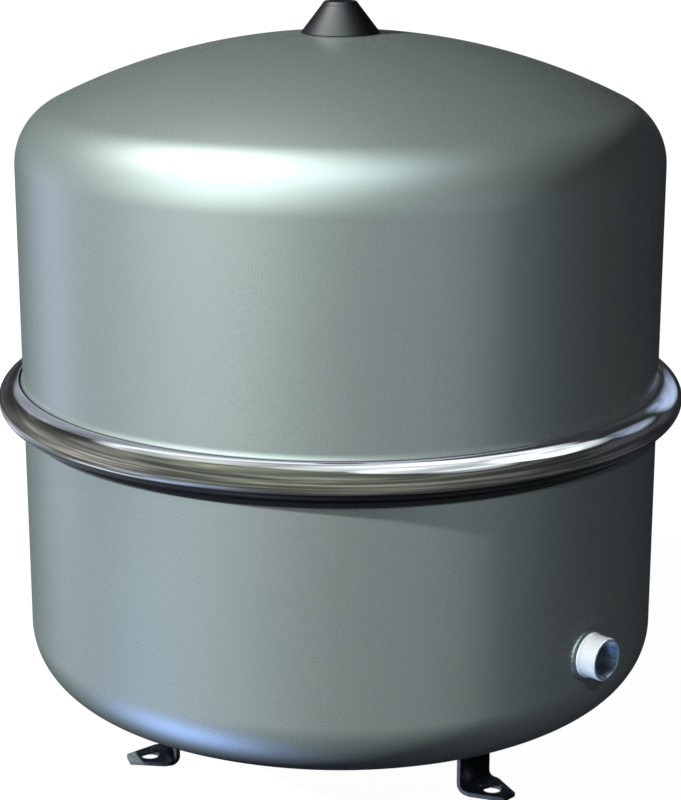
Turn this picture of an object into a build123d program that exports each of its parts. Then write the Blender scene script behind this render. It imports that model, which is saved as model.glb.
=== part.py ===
from build123d import *
import math
import os

# Floor-standing diaphragm expansion tank of about 50 litres for a closed heating system.
# Millimetres, +Z up. The origin is on the tank's axis at the floor, and the water port
# points along +X. "Seam height" is the mid-plane of the clamped joint between the shells.

# Pressed shells
shell_radius = 203.0  # outside
shell_wall = 1.5
floor_gap = 16.33  # below the lowest point of the lower end
upper_straight = 148.0  # seam to the start of the upper dished end
lower_straight = 150.0  # seam to the start of the lower dished end
knuckle_radius = 40.6  # outside, where the straight side turns into the end
crown_radius = 406.0  # outside, across the middle of each end

# Flared flange at each shell's mouth
flare_radius = 7.0  # outside of the bend
flange_slope = 32.5  # degrees from the horizontal
flange_reach = 10.5  # how far the flange's edge stands out from the shell

# Clamp ring that is rolled over both flanges
ring_reach = 15.5  # how far the bead stands out from the shell
ring_half_height = 12.5
ring_wall = 2.0
ring_lip_offset = 2.4  # gap between the shell's side and the ring's lips
ring_lip_round = 0.7
ring_seat_gap = 0.1

# Rubber diaphragm, a cup whose bead is held between the flanges
diaphragm_wall = 2.0
diaphragm_bead_offset = 5.7  # bead's centre line, outside the shell's side
diaphragm_bead_gap = 0.1
diaphragm_inset = 6.0  # between the cup and the lower shell's wall
diaphragm_neck_bend = 6.0  # bend's radius on the side that faces the shell

# Water port, a pipe nipple welded into the lower shell
port_rise = 20.0  # axis above the start of the lower dished end
spigot_radius = 13.22  # crest of the R 3/4 thread
spigot_bore = 10.8
spigot_reach = 14.2  # beyond the shell's side
spigot_inset = 1.5  # beyond the shell's inside
spigot_land_radius = 13.9
spigot_land_length = 3.6
spigot_edge = 0.8
spigot_hole_gap = 0.1
spigot_weld_leg = 2.4

# Feet, bent from strip
foot_count = 3
foot_inset = 71.5  # from the shell's side in to the fixing holes
foot_hole_radius = 6.0
strip_thickness = 3.0
strip_width = 30.0
foot_leg_offset = 14.0  # from a hole's centre in to the leg's outer face
foot_bend_radius = 3.5  # inside of the bend
foot_shoulder_offset = 6.5  # from a hole's centre in to where the plate starts to taper
foot_tip_offset = 14.5  # from a hole's centre out to the tip
foot_tip_width = 11.2
foot_corner_round = 1.2
foot_weld_leg = 3.0
foot_weld_toe = 0.4

# Gap between each weld bead, or a part it joins, and the curved wall beside it
weld_gap = 0.05

# Gas valve boss in the upper end
boss_radius = 10.0
boss_height = 5.0  # above the top of the upper end
boss_inset = 1.5  # below the upper end's inside
boss_hole_gap = 0.1
boss_weld_leg = 2.0

# Valve stem, screwed into the boss
stem_screw_radius = 4.9
stem_screw_gap = 0.1
stem_screw_length = 8.0
stem_flange_radius = 7.0
stem_flange_height = 1.0
stem_hex_flats = 11.0
stem_hex_height = 2.0
stem_thread_radius = 3.85
stem_thread_length = 6.5
stem_edge = 0.4
stem_core_bore = 2.6
stem_core_depth = 4.8
stem_seat_depth = 5.8
stem_bore = 2.05

# O-ring under the stem's flange
oring_section = 0.68
oring_groove_width = 1.44
oring_groove_depth = 1.4

# Valve core
core_thread_gap = 0.08
core_recess = 0.4  # core's top below the stem's rim
core_head_length = 4.3
core_barrel_radius = 1.65
core_barrel_floor = 0.5
core_neck_radius = 1.7
core_neck_length = 2.4
core_pin_bore = 0.8
gasket_gap = 0.05
gasket_height = 1.1
pin_radius = 0.6
pin_head_radius = 1.4
pin_head_height = 0.9
pin_tail = 4.0  # below the valve seat
seat_seal_radius = 1.7
seat_seal_height = 0.6
seat_seal_gap = 0.05
cup_height = 1.0
cup_wall = 0.18
spring_wire = 0.2  # wire radius
spring_coil = 1.1  # coil radius
spring_turns = 3.5
spring_end_gap = 0.02

# Dust cap on the stem
dust_cap_radius = 5.5
dust_cap_gap = 0.1
dust_cap_foot_gap = 0.4
dust_cap_top = 1.2
dust_cap_seal_height = 0.55
dust_cap_seal_gap = 0.05
dust_cap_seal_inset = 0.45  # inside the cap's bore
dust_cap_edge = 0.6
grip_count = 18
grip_radius = 0.4

# Protective cover over the valve
cover_height = 18.9  # above the top of the upper end
cover_base_radius = 24.4
cover_top_radius = 9.95
cover_wall = 1.8
cover_edge = 0.8
cover_seat_gap = 0.05
sleeve_gap = 0.2  # around the boss
sleeve_wall = 1.5
sleeve_clearance = 0.4  # above the boss's weld


# Shapes shared by several pieces

crown_drop = math.sqrt((crown_radius - knuckle_radius) ** 2 - (shell_radius - knuckle_radius) ** 2)
knuckle_angle = math.degrees(math.atan2(crown_drop, shell_radius - knuckle_radius))
dish_depth = crown_radius - crown_drop
seam_height = floor_gap + dish_depth + lower_straight
dome_top = seam_height + upper_straight + dish_depth


def turned(edges):
    # Revolves a closed outline, drawn as radius and height, about the tank's axis
    return revolve(Plane.XZ * make_face(edges), Axis.Z)


def turned_outline(*points):
    return turned(Polyline(*points, close=True).edges())


def tube(outer_radius, inner_radius, bottom, top):
    return turned_outline(
        (inner_radius, bottom), (outer_radius, bottom), (outer_radius, top), (inner_radius, top)
    )


def rod(radius, bottom, top):
    return tube(radius, 0, bottom, top)


def dished_end(straight, inset):
    # Knuckle and crown arcs of an end, moved inwards by the inset, above the seam
    knuckle_center = (shell_radius - knuckle_radius, straight)
    crown_center = (0, straight - crown_drop)
    knuckle = CenterArc(knuckle_center, knuckle_radius - inset, 0, knuckle_angle)
    crown = CenterArc(crown_center, crown_radius - inset, knuckle_angle, 90 - knuckle_angle)
    return [knuckle, crown]


def end_apex(straight, inset):
    return (0, straight + dish_depth - inset)


def dome_height(radius):
    # Height of the upper end's outside at a radius, within the crown
    return dome_top - crown_radius + math.sqrt(crown_radius**2 - radius**2)


def above_seam(piece):
    return Pos(0, 0, seam_height) * piece


def below_seam(piece):
    return above_seam(mirror(piece, Plane.XY))


def filled_end(straight, growth):
    # Everything inside a shell's outside, grown by a gap, for trimming what is welded to it
    edges = dished_end(straight, -growth)
    edges.append(Line((shell_radius + growth, straight), (shell_radius + growth, 0)))
    edges.append(Line((shell_radius + growth, 0), (0, 0)))
    edges.append(Line((0, 0), end_apex(straight, -growth)))
    return turned(edges)


# Seam: the flare starts where its bend just clears the ring's lips

ring_inner_reach = ring_reach - ring_wall
ring_inner_half = ring_half_height - ring_wall
lip_height = ring_inner_half * math.sqrt(1 - (ring_lip_offset / ring_inner_reach) ** 2)
lip_turn = math.acos((flare_radius - ring_lip_offset) / flare_radius)
flare_start = lip_height - ring_seat_gap + flare_radius * math.sin(lip_turn)
flare_turn = 90 - flange_slope


def flare_end(growth):
    # End of the flare's bend, on the outside (growth 0) or a distance inside it
    turn = math.radians(flare_turn)
    radius = flare_radius + growth
    across = shell_radius + flare_radius - radius * math.cos(turn)
    return (across, flare_start - radius * math.sin(turn))


def flange_edge(depth):
    # Corner of the flange's cut edge, at a depth into the sheet
    slope = math.radians(flange_slope)
    root_radius, root_height = flare_end(0)
    run = shell_radius + flange_reach - root_radius
    across = shell_radius + flange_reach - depth * math.sin(slope)
    return (across, root_height - run * math.tan(slope) - depth * math.cos(slope))


def pressed_shell(straight):
    flare_center = (shell_radius + flare_radius, flare_start)
    inside = shell_radius - shell_wall
    edges = dished_end(straight, 0)
    edges.append(Line((shell_radius, straight), (shell_radius, flare_start)))
    edges.append(CenterArc(flare_center, flare_radius, 180, flare_turn))
    edges.append(Line(flare_end(0), flange_edge(0)))
    edges.append(Line(flange_edge(0), flange_edge(shell_wall)))
    edges.append(Line(flange_edge(shell_wall), flare_end(shell_wall)))
    edges.append(CenterArc(flare_center, flare_radius + shell_wall, 180, flare_turn))
    edges.append(Line((inside, flare_start), (inside, straight)))
    edges.extend(dished_end(straight, shell_wall))
    edges.append(Line(end_apex(straight, shell_wall), end_apex(straight, 0)))
    return turned(edges)


def make_upper_shell():
    hole = rod(boss_radius + boss_hole_gap, seam_height, dome_top)
    return above_seam(pressed_shell(upper_straight)) - hole


def make_lower_shell():
    hole = along_port(rod(spigot_land_radius + spigot_hole_gap, 0, shell_radius))
    return below_seam(pressed_shell(lower_straight)) - hole


def make_clamp_ring():
    outer_angle = math.degrees(math.acos(ring_lip_offset / ring_reach))
    inner_angle = math.degrees(math.acos(ring_lip_offset / ring_inner_reach))
    center = (shell_radius, 0)
    outside = EllipticalCenterArc(
        center, ring_reach, ring_half_height, -outer_angle, arc_size=2 * outer_angle
    )
    inside = EllipticalCenterArc(
        center, ring_inner_reach, ring_inner_half, -inner_angle, arc_size=2 * inner_angle
    )
    upper_lip = Line(outside @ 1, inside @ 1)
    lower_lip = Line(outside @ 0, inside @ 0)
    section = make_face([outside, upper_lip, inside, lower_lip])
    section = fillet(section.vertices(), ring_lip_round)
    return above_seam(revolve(Plane.XZ * section, Axis.Z))


def make_diaphragm():
    # The bead fills the wedge between the two flanges
    slope = math.radians(flange_slope)
    edge_radius, edge_height = flange_edge(shell_wall)
    bead_center = shell_radius + diaphragm_bead_offset
    bead_room = (edge_radius - bead_center) * math.sin(slope) + edge_height * math.cos(slope)
    bead_radius = bead_room - diaphragm_bead_gap
    bead = revolve(Plane.XZ * (Pos(bead_center, 0) * Circle(bead_radius)), Axis.Z)

    # The cup runs in from the bead, turns down and follows the lower shell's inside
    outer_inset = shell_wall + diaphragm_inset
    inner_inset = outer_inset + diaphragm_wall
    outer_radius = shell_radius - outer_inset
    inner_radius = shell_radius - inner_inset
    half = diaphragm_wall / 2
    bend_radius = outer_radius + diaphragm_neck_bend
    bend_height = half + diaphragm_neck_bend
    bend_center = (bend_radius, bend_height)
    edges = dished_end(lower_straight, outer_inset)
    edges.append(Line((outer_radius, lower_straight), (outer_radius, bend_height)))
    edges.append(CenterArc(bend_center, diaphragm_neck_bend, 180, 90))
    edges.append(Line((bend_radius, half), (bead_center, half)))
    edges.append(Line((bead_center, half), (bead_center, -half)))
    edges.append(Line((bead_center, -half), (bend_radius, -half)))
    edges.append(CenterArc(bend_center, diaphragm_neck_bend + diaphragm_wall, 180, 90))
    edges.append(Line((inner_radius, bend_height), (inner_radius, lower_straight)))
    edges.extend(dished_end(lower_straight, inner_inset))
    edges.append(Line(end_apex(lower_straight, inner_inset), end_apex(lower_straight, outer_inset)))
    return below_seam(bead + turned(edges))


# Water port

port_height = seam_height - lower_straight + port_rise


def along_port(piece):
    # Lays a piece that was turned about +Z along the port's axis
    return Pos(0, 0, port_height) * Rot(0, 90, 0) * piece


def make_port_spigot():
    start = shell_radius - shell_wall - spigot_inset
    land_end = shell_radius + spigot_land_length
    step = spigot_land_radius - spigot_radius
    end = shell_radius + spigot_reach
    outline = [
        (spigot_bore, start),
        (spigot_land_radius, start),
        (spigot_land_radius, land_end - step),
        (spigot_radius, land_end),
        (spigot_radius, end - spigot_edge),
        (spigot_radius - spigot_edge, end),
        (spigot_bore, end),
    ]
    return along_port(turned_outline(*outline))


def make_spigot_weld():
    inner = spigot_land_radius + weld_gap
    outer = inner + spigot_weld_leg
    # Far enough in for the bead's foot to reach the curved wall all round
    sag = shell_radius - math.sqrt(shell_radius**2 - outer**2)
    foot = shell_radius - sag
    bead = turned_outline(
        (inner, foot - shell_wall),
        (outer, foot - shell_wall),
        (outer, foot),
        (inner, shell_radius + spigot_weld_leg),
    )
    return along_port(bead) - below_seam(filled_end(lower_straight, weld_gap))


# Feet

foot_circle_radius = shell_radius - foot_inset
foot_leg_face = foot_circle_radius - foot_leg_offset
foot_shoulder = foot_circle_radius - foot_shoulder_offset
foot_tip = foot_circle_radius + foot_tip_offset


def make_foot():
    leg_back = foot_leg_face - strip_thickness
    leg_top = seam_height - lower_straight
    side = make_face(
        Polyline(
            (foot_tip, 0),
            (leg_back, 0),
            (leg_back, leg_top),
            (foot_leg_face, leg_top),
            (foot_leg_face, strip_thickness),
            (foot_tip, strip_thickness),
            close=True,
        ).edges()
    )
    inside_corner = side.vertices().sort_by_distance((foot_leg_face, strip_thickness))[0]
    side = fillet(inside_corner, foot_bend_radius)
    outside_corner = side.vertices().sort_by_distance((leg_back, 0))[0]
    side = fillet(outside_corner, foot_bend_radius + strip_thickness)
    strip = extrude(Plane.XZ * side, strip_width / 2, both=True)

    # Plan of the plate, which tapers to a blunt tip
    half = strip_width / 2
    half_tip = foot_tip_width / 2
    plan = make_face(
        Polyline(
            (leg_back, -half),
            (foot_shoulder, -half),
            (foot_tip, -half_tip),
            (foot_tip, half_tip),
            (foot_shoulder, half),
            (leg_back, half),
            close=True,
        ).edges()
    )
    corners = plan.vertices().group_by(Axis.X)[1:]
    plan = fillet(corners[0] + corners[1], foot_corner_round)
    hole = Pos(foot_circle_radius, 0) * Circle(foot_hole_radius)
    foot = strip & extrude(plan - hole, leg_top)
    return foot - below_seam(filled_end(lower_straight, weld_gap))


def make_foot_weld():
    # A bead all round the leg, widening up to the dished end
    leg_middle = foot_leg_face - strip_thickness / 2
    leg_end = seam_height - lower_straight + crown_drop - math.sqrt(crown_radius**2 - foot_leg_face**2)
    toe = Pos(leg_middle, 0, leg_end - foot_weld_leg) * Rectangle(
        strip_thickness + 2 * foot_weld_toe, strip_width + 2 * foot_weld_toe
    )
    bead = extrude(toe, 2 * foot_weld_leg, taper=-45)
    leg = Pos(leg_middle, 0, leg_end) * Box(strip_thickness, strip_width, 4 * foot_weld_leg)
    return bead - leg - below_seam(filled_end(lower_straight, weld_gap))


# Gas valve, measured from the top of the upper end

boss_top = dome_top + boss_height
boss_bottom = dome_top - shell_wall - boss_inset
hex_bottom = boss_top + stem_flange_height
hex_top = hex_bottom + stem_hex_height
stem_top = hex_top + stem_thread_length
core_top = stem_top - core_recess
barrel_floor = core_top - core_head_length + core_barrel_floor
neck_top = core_top - core_head_length
valve_seat = neck_top - core_neck_length
core_thread_radius = stem_core_bore - core_thread_gap
groove_outer = stem_screw_radius + oring_groove_width


def make_valve_boss():
    bore = stem_screw_radius + stem_screw_gap
    body = tube(boss_radius, bore, boss_bottom, boss_top)
    groove = rod(groove_outer, boss_top - oring_groove_depth, boss_top)
    return body - groove


def make_boss_weld():
    inner = boss_radius + weld_gap
    outer = inner + boss_weld_leg
    return turned_outline(
        (inner, dome_height(inner) + weld_gap),
        (outer, dome_height(outer) + weld_gap),
        (inner, dome_top + boss_weld_leg),
    )


def make_valve_stem():
    screw = rod(stem_screw_radius, boss_top - stem_screw_length, boss_top)
    flange = rod(stem_flange_radius, boss_top, hex_bottom)
    hexagon = RegularPolygon(stem_hex_flats / 2, 6, major_radius=False)
    nut = extrude(Pos(0, 0, hex_bottom) * hexagon, stem_hex_height)
    top = turned_outline(
        (0, hex_top),
        (stem_thread_radius, hex_top),
        (stem_thread_radius, stem_top - stem_edge),
        (stem_thread_radius - stem_edge, stem_top),
        (0, stem_top),
    )
    bore = turned_outline(
        (0, boss_top - stem_screw_length),
        (stem_bore, boss_top - stem_screw_length),
        (stem_bore, stem_top - stem_seat_depth),
        (stem_core_bore, stem_top - stem_core_depth),
        (stem_core_bore, stem_top),
        (0, stem_top),
    )
    return screw + flange + nut + top - bore


def make_stem_oring():
    center = stem_screw_radius + oring_groove_width / 2
    height = boss_top - oring_groove_depth / 2
    return revolve(Plane.XZ * (Pos(center, height) * Circle(oring_section)), Axis.Z)


def make_core_body():
    return turned_outline(
        (core_pin_bore, valve_seat),
        (core_neck_radius, valve_seat),
        (core_neck_radius, neck_top),
        (core_thread_radius, neck_top),
        (core_thread_radius, core_top),
        (core_barrel_radius, core_top),
        (core_barrel_radius, barrel_floor),
        (core_pin_bore, barrel_floor),
    )


def make_core_gasket():
    # A tapered sleeve on the core's neck, wedged into the stem's seat
    seat_top = stem_top - stem_core_depth
    seat_slope = (stem_core_bore - stem_bore) / (stem_seat_depth - stem_core_depth)
    bottom = neck_top - gasket_height
    inner = core_neck_radius + gasket_gap
    lower = stem_core_bore - (seat_top - bottom) * seat_slope - gasket_gap
    upper = min(stem_core_bore, stem_core_bore - (seat_top - neck_top) * seat_slope) - gasket_gap
    return turned_outline((inner, bottom), (lower, bottom), (upper, neck_top), (inner, neck_top))


def make_core_pin():
    head_top = core_top
    head_bottom = head_top - pin_head_height
    return rod(pin_head_radius, head_bottom, head_top) + rod(pin_radius, valve_seat - pin_tail, head_bottom)


def make_core_spring():
    bottom = barrel_floor + spring_end_gap + spring_wire
    top = core_top - pin_head_height - spring_end_gap - spring_wire
    path = Pos(0, 0, bottom) * Helix((top - bottom) / spring_turns, top - bottom, spring_coil)
    start = Plane(origin=path @ 0, z_dir=path % 0)
    return sweep(start * Circle(spring_wire), path)


def make_core_seat_seal():
    top = valve_seat - seat_seal_gap
    return tube(seat_seal_radius, pin_radius, top - seat_seal_height, top)


def make_core_cup():
    # A shallow cup that holds the seat seal from below
    seal_bottom = valve_seat - seat_seal_gap - seat_seal_height
    outer = seat_seal_radius + cup_wall
    body = tube(outer, pin_radius, seal_bottom - cup_height, seal_bottom + seat_seal_height / 2)
    recess = rod(seat_seal_radius, seal_bottom, valve_seat)
    return body - recess


def make_dust_cap():
    bottom = hex_top + dust_cap_foot_gap
    inside_top = stem_top + dust_cap_seal_gap + dust_cap_seal_height
    top = inside_top + dust_cap_top
    body = turned_outline(
        (stem_thread_radius + dust_cap_gap, bottom),
        (dust_cap_radius, bottom),
        (dust_cap_radius, top - dust_cap_edge),
        (dust_cap_radius - dust_cap_edge, top),
        (0, top),
        (0, inside_top),
        (stem_thread_radius + dust_cap_gap, inside_top),
    )
    groove = Pos(dust_cap_radius, 0) * rod(grip_radius, bottom, top)
    return body - PolarLocations(0, grip_count) * groove


def make_dust_cap_seal():
    radius = stem_thread_radius + dust_cap_gap - dust_cap_seal_inset
    bottom = stem_top + dust_cap_seal_gap
    return rod(radius, bottom, bottom + dust_cap_seal_height)


def make_valve_cover():
    # A hollow cone whose inner sleeve grips the boss
    slope = (cover_base_radius - cover_top_radius) / cover_height
    side_wall = cover_wall * math.sqrt(1 + slope**2)
    base = dome_height(cover_base_radius - side_wall) + cover_seat_gap
    top = dome_top + cover_height
    roof = top - cover_wall
    base_radius = cover_base_radius + (dome_top - base) * slope
    roof_radius = cover_top_radius + cover_wall * slope - side_wall
    cone = turned_outline((0, base), (base_radius, base), (cover_top_radius, top), (0, top))
    cone = chamfer(cone.edges().group_by(Axis.Z)[-1], cover_edge)
    hollow = turned_outline((0, base), (base_radius - side_wall, base), (roof_radius, roof), (0, roof))
    sleeve_inner = boss_radius + sleeve_gap
    sleeve_bottom = dome_top + boss_weld_leg + sleeve_clearance
    sleeve = tube(sleeve_inner + sleeve_wall, sleeve_inner, sleeve_bottom, top) & cone
    return cone - hollow + sleeve


pieces = {
    "upper_shell": make_upper_shell(),
    "lower_shell": make_lower_shell(),
    "clamp_ring": make_clamp_ring(),
    "diaphragm": make_diaphragm(),
    "port_spigot": make_port_spigot(),
    "spigot_weld": make_spigot_weld(),
    "valve_boss": make_valve_boss(),
    "boss_weld": make_boss_weld(),
    "valve_stem": make_valve_stem(),
    "stem_oring": make_stem_oring(),
    "core_body": make_core_body(),
    "core_gasket": make_core_gasket(),
    "core_pin": make_core_pin(),
    "core_spring": make_core_spring(),
    "core_seat_seal": make_core_seat_seal(),
    "core_cup": make_core_cup(),
    "dust_cap": make_dust_cap(),
    "dust_cap_seal": make_dust_cap_seal(),
    "valve_cover": make_valve_cover(),
}
foot = make_foot()
foot_weld = make_foot_weld()
for index in range(foot_count):
    turn = Rot(0, 0, index * 360 / foot_count)
    pieces[f"foot_{index + 1}"] = turn * foot
    pieces[f"foot_weld_{index + 1}"] = turn * foot_weld

os.makedirs("parts", exist_ok=True)
for name, piece in pieces.items():
    export_step(piece, f"parts/{name}.step")
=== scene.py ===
import math

import bmesh
import bpy
from mathutils import Matrix, Vector


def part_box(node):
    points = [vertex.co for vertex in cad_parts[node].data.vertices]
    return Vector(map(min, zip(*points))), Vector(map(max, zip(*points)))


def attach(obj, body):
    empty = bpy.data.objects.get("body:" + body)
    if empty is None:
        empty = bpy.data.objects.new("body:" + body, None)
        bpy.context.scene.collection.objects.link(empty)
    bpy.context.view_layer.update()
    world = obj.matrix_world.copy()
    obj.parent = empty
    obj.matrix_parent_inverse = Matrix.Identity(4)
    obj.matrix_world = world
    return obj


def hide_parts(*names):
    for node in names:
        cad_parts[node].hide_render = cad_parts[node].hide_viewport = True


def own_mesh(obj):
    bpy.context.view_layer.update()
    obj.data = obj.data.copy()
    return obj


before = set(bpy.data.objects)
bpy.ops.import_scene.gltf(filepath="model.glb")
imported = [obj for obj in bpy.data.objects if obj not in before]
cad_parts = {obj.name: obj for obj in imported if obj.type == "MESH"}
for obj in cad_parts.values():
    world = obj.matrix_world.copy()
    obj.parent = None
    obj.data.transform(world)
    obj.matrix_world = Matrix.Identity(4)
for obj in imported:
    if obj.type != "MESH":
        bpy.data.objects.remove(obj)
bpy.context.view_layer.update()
ringLow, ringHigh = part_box("clamp_ring")
seamHeight = (ringLow.z + ringHigh.z) / 2
mergeDistance = 2e-7  # points closer than this become one
axisRadius = 1e-9  # a profile's point inside this lies on the axis
cornerShare = 0.45  # how far along a side its corner may be rounded
print("frame loaded with", len(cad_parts), "nodes")


def operators(kind):
    # an operator, and its form for a number on the left
    return (
        lambda wire, other: wire.graph.math(kind, wire, other),
        lambda wire, other: wire.graph.math(kind, other, wire),
    )


class Wire:  # a node's output that arithmetic can be written on
    __add__, __radd__ = operators("ADD")
    __sub__, __rsub__ = operators("SUBTRACT")
    __mul__, __rmul__ = operators("MULTIPLY")
    __truediv__, __rtruediv__ = operators("DIVIDE")

    def __init__(self, graph, socket):
        self.graph = graph
        self.socket = socket


def plain(name):
    return name.replace(" ", "").lower()


class Graph:  # a node tree that is filled one node at a time
    def __init__(self, tree, owner=None):
        self.tree = tree
        self.owner = owner

    def add(self, kind, settings=None, *values, output=None, **named):
        # settings first, then the sockets' values or wires, in order or by name
        node = self.tree.nodes.new(kind)
        for key, value in (settings or {}).items():
            if key == "stops":
                self.setStops(node.color_ramp, value)
            else:
                setattr(node, key, value)
        sockets = [socket for socket in node.inputs if socket.enabled]
        pairs = list(zip(sockets, values))
        for key, value in named.items():
            pairs.append((next(socket for socket in sockets if plain(socket.name) == plain(key)), value))
        for socket, value in pairs:
            if isinstance(value, Wire):
                self.tree.links.new(value.socket, socket)
            else:
                socket.default_value = value
        outputs = [socket for socket in node.outputs if socket.enabled and output in (None, socket.name)]
        return Wire(self, outputs[0]) if outputs else None

    def setStops(self, ramp, stops):
        while len(ramp.elements) < len(stops):
            ramp.elements.new(1)
        for element, (place, colour) in zip(ramp.elements, stops):
            element.position = place
            element.color = colour

    def math(self, operation, *values):
        return self.add("ShaderNodeMath", {"operation": operation}, *values)

    def vector(self, operation, *values, **named):
        return self.add("ShaderNodeVectorMath", {"operation": operation}, *values, **named)

    def position(self):
        return self.split(self.add("GeometryNodeInputPosition"))

    def split(self, vector):
        return [self.add("ShaderNodeSeparateXYZ", None, vector, output=axis) for axis in "XYZ"]

    def join(self, x, y, z):
        return self.add("ShaderNodeCombineXYZ", None, x, y, z)

    def reach(self, x, y):
        return self.math("SQRT", x * x + y * y)

    def angle(self, x, y):
        return self.math("ARCTAN2", y, x)

    def ramp(self, value):
        # 0 to 1, halfway where the value is 0
        return self.add("ShaderNodeMath", {"operation": "ADD", "use_clamp": True}, value, 0.5)

    def over(self, value, limit):
        compare = {"data_type": "FLOAT", "operation": "GREATER_THAN"}
        return self.add("FunctionNodeCompare", compare, value, limit)

    def circle(self, resolution, radius):
        return self.add("GeometryNodeCurvePrimitiveCircle", {"mode": "RADIUS"}, resolution, radius)


def emptyGraph(owner):
    # the nodes of a material or the world, cleared
    owner.use_nodes = True
    owner.node_tree.nodes.clear()
    return Graph(owner.node_tree, owner)


def linked(name, data):
    piece = bpy.data.objects.new(name, data)
    bpy.context.scene.collection.objects.link(piece)
    return piece


def newMesh(name, points, edges=(), faces=()):
    mesh = bpy.data.meshes.new(name)
    mesh.from_pydata(points, edges, faces)
    mesh.update()
    return mesh


def meshFrom(name, work):
    mesh = bpy.data.meshes.new(name)
    work.to_mesh(mesh)
    work.free()
    return mesh


def baked(piece):
    # the evaluated result as a plain mesh, with no modifier left
    bpy.context.view_layer.update()
    evaluated = piece.evaluated_get(bpy.context.evaluated_depsgraph_get())
    mesh = bpy.data.meshes.new_from_object(evaluated)
    piece.modifiers.clear()
    piece.data = mesh
    mesh.name = piece.name


def tidied(piece, sharpAngle=32, turnOut=True):
    # doubles merged, faces outwards, smooth apart from real edges
    work = bmesh.new()
    work.from_mesh(piece.data)
    bmesh.ops.remove_doubles(work, verts=work.verts, dist=mergeDistance)
    if turnOut:
        bmesh.ops.recalc_face_normals(work, faces=work.faces)
    work.to_mesh(piece.data)
    work.free()
    piece.data.shade_smooth()
    piece.data.set_sharp_from_angle(angle=math.radians(sharpAngle))
    return piece


def placed(piece, slot, body, *nodes):
    # the piece's finish, the body it rides on and the CAD nodes it stands for
    piece.data.materials.clear()
    piece.data.materials.append(finishes[slot])
    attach(piece, body)
    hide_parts(*nodes)


def newTree(name, sizes=(), counts=()):
    # a Geometry Nodes tree with named inputs for sizes, counts and the material
    tree = bpy.data.node_groups.new(name, "GeometryNodeTree")
    tree.interface.new_socket("Geometry", in_out="OUTPUT", socket_type="NodeSocketGeometry")
    groups = {"Geometry": ["Geometry"], "Float": sizes, "Int": counts, "Material": ["Material"]}
    for kind, keys in groups.items():
        for key in keys:
            tree.interface.new_socket(key, in_out="INPUT", socket_type="NodeSocket" + kind)
    graph = Graph(tree)
    entry = tree.nodes.new("NodeGroupInput")
    return graph, {socket.name: Wire(graph, socket) for socket in entry.outputs if socket.name}


def endTree(graph, given, geometry):
    real = graph.add("GeometryNodeRealizeInstances", None, geometry)
    finished = graph.add("GeometryNodeSetMaterial", None, real, material=given["Material"])
    leave = graph.tree.nodes.new("NodeGroupOutput")
    graph.tree.links.new(finished.socket, leave.inputs[0])
    return graph.tree


def runTree(piece, tree, slot, **values):
    # sets the inputs that the tree has, by identifier, and bakes the piece
    values["material"] = finishes[slot]
    modifier = piece.modifiers.new(tree.name, "NODES")
    modifier.node_group = tree
    for item in tree.interface.items_tree:
        for name, value in values.items():
            if item.in_out == "INPUT" and plain(item.name) == plain(name):
                modifier[item.identifier] = value
    baked(piece)


def turnTree():
    # spins a profile, drawn as radius and height in the XZ plane, about Z
    graph, given = newTree("turnedProfile", ["Path Radius"], ["Segments"])
    x, y, z = graph.position()
    flat = graph.join(x - given["Path Radius"], 0 - z, 0.0)
    profile = graph.add("GeometryNodeSetPosition", None, given["Geometry"], position=flat)
    section = graph.add("GeometryNodeMeshToCurve", None, profile)
    path = graph.circle(given["Segments"], given["Path Radius"])
    skin = graph.add("GeometryNodeCurveToMesh", None, curve=path, profileCurve=section)
    merged = graph.add("GeometryNodeMergeByDistance", None, skin, distance=mergeDistance)
    return endTree(graph, given, merged)


def pressIn(graph, given, radius, depth, limit):
    # what lies outside the limit moves in towards the axis
    x, y, z = graph.position()
    scale = 1 - depth / radius
    pressed = graph.add(
        "GeometryNodeSetPosition", None, given["Geometry"],
        selection=graph.over(radius, limit), position=graph.join(x * scale, y * scale, z),
    )
    return endTree(graph, given, pressed)


threadShape = dict(fadeTurns=0.6, fadeSoftness=0.2, crestMargin=0.00002)


def threadTree():
    # cuts a rounded thread into the outside of a turned piece, fading out at its ends
    graph, given = newTree("roundedThread", ["Pitch", "Depth", "Crest", "Start", "End"])
    x, y, z = graph.position()
    radius = graph.reach(x, y)
    turn = graph.angle(x, y) / math.tau
    wave = 0.5 - 0.5 * graph.math("COSINE", (z / given["Pitch"] - turn) * math.tau)
    clear = given["Pitch"] * threadShape["fadeTurns"]
    fadeIn = graph.math("SMOOTH_MIN", 1.0, (z - given["Start"]) / clear, threadShape["fadeSoftness"])
    fadeOut = graph.math("SMOOTH_MIN", 1.0, (given["End"] - z) / clear, threadShape["fadeSoftness"])
    fade = graph.math("MAXIMUM", 0.0, fadeIn) * graph.math("MAXIMUM", 0.0, fadeOut)
    depth = given["Depth"] * wave * fade
    return pressIn(graph, given, radius, depth, given["Crest"] - threadShape["crestMargin"])


beadShape = dict(sides=16, jitterScale=450.0, phaseJitter=0.5, heightJitter=0.8, sharpAngle=60)


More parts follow.
